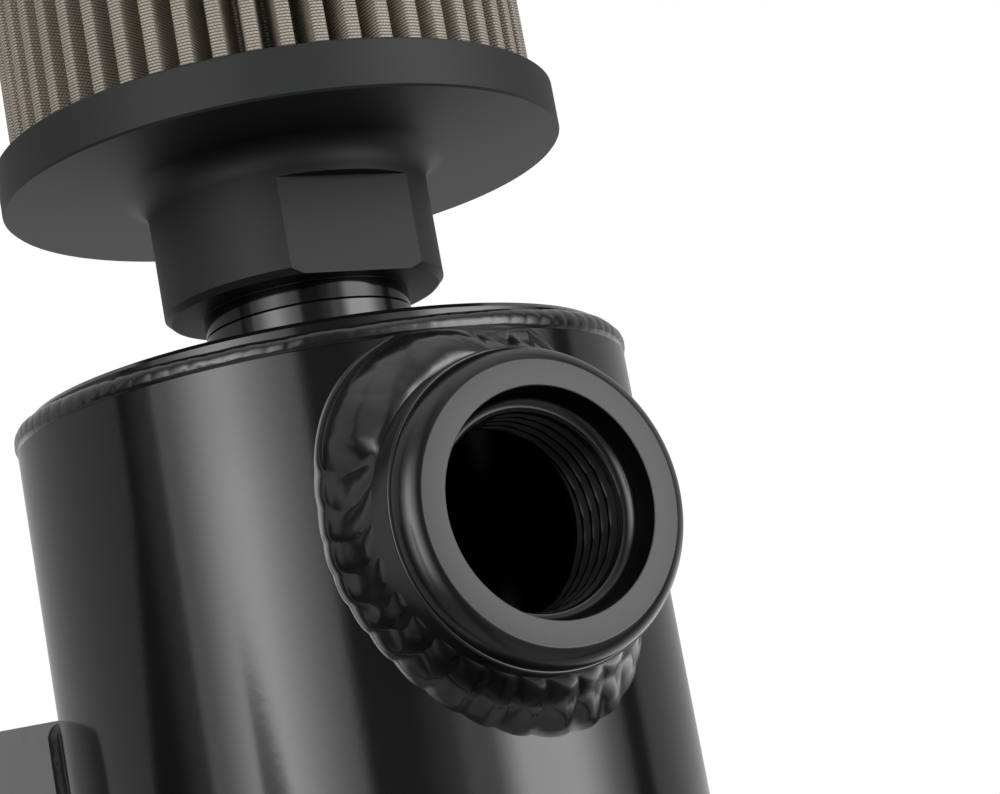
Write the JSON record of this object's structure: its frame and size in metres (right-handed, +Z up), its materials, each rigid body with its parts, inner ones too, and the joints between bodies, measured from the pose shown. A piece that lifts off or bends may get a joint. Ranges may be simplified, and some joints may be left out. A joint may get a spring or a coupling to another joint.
{
  "type": "oil catch can",
  "caption": "Black welded oil catch can with a side threaded inlet, a screw-in pleated mesh breather on top, a side mounting tab and a drain plug below.",
  "frame": {"origin": "the can's axis at the plane of its bottom rim, where it stands", "axes": "+Z up along the can's axis, -X along the mounting tab, the inlet 30 degrees from -Y towards +X"},
  "size_m": [0.1313, 0.0997, 0.2702],
  "materials": {
    "gloss_black": "gloss black coat over welded aluminium",
    "bung_black": "black coat, matte turned face, bare dark threads",
    "anodised_black": "matte black anodised",
    "wire_cloth": "woven stainless wire cloth, pleated",
    "core_steel": "perforated sheet",
    "seal_rubber": "moulded nitrile rubber",
    "potting": "cast potting compound",
    "bare_aluminium": "mill finish sheet"
  },
  "bodies": {
    "can": {"can_tube": "gloss_black", "top_cap": "gloss_black", "bottom_cap": "gloss_black", "inlet_bung": "bung_black", "breather_bung": "gloss_black", "mounting_tab": "gloss_black", "baffle_plate": "bare_aluminium", "top_seam_weld": "gloss_black", "bottom_seam_weld": "gloss_black", "inlet_weld": "gloss_black", "breather_bung_weld": "gloss_black", "tab_weld_front": "gloss_black", "tab_weld_back": "gloss_black"},
    "breather_seal": {"breather_o_ring": "seal_rubber"},
    "breather": {"breather_base": "anodised_black", "filter_mesh": "wire_cloth", "filter_core": "core_steel", "filter_top_cap": "anodised_black", "lower_bond_ring": "potting", "upper_bond_ring": "potting"},
    "drain_seal": {"drain_o_ring": "seal_rubber"},
    "drain": {"drain_plug": "anodised_black"}
  },
  "joints": [
    {"name": "breather_lift", "type": "slide", "parent": "can", "child": "breather_seal", "axis": [0, 0, 1], "range_m": [0, 0.0091]},
    {"name": "breather_turn", "type": "hinge", "parent": "breather_seal", "child": "breather", "pos_m": [0, 0, 0.1774], "axis": [0, 0, 1], "range_deg": [0, 1800]},
    {"name": "drain_drop", "type": "slide", "parent": "can", "child": "drain_seal", "axis": [0, 0, -1], "range_m": [0, 0.0076]},
    {"name": "drain_turn", "type": "hinge", "parent": "drain_seal", "child": "drain", "pos_m": [0, 0, 0.015], "axis": [0, 0, -1], "range_deg": [0, 1800]}
  ],
  "couplings": [
    {"joint": "breather_lift", "follows": "breather_turn", "m_per_rad": 0.00028871},
    {"joint": "drain_drop", "follows": "drain_turn", "m_per_rad": 0.00023873}
  ]
}
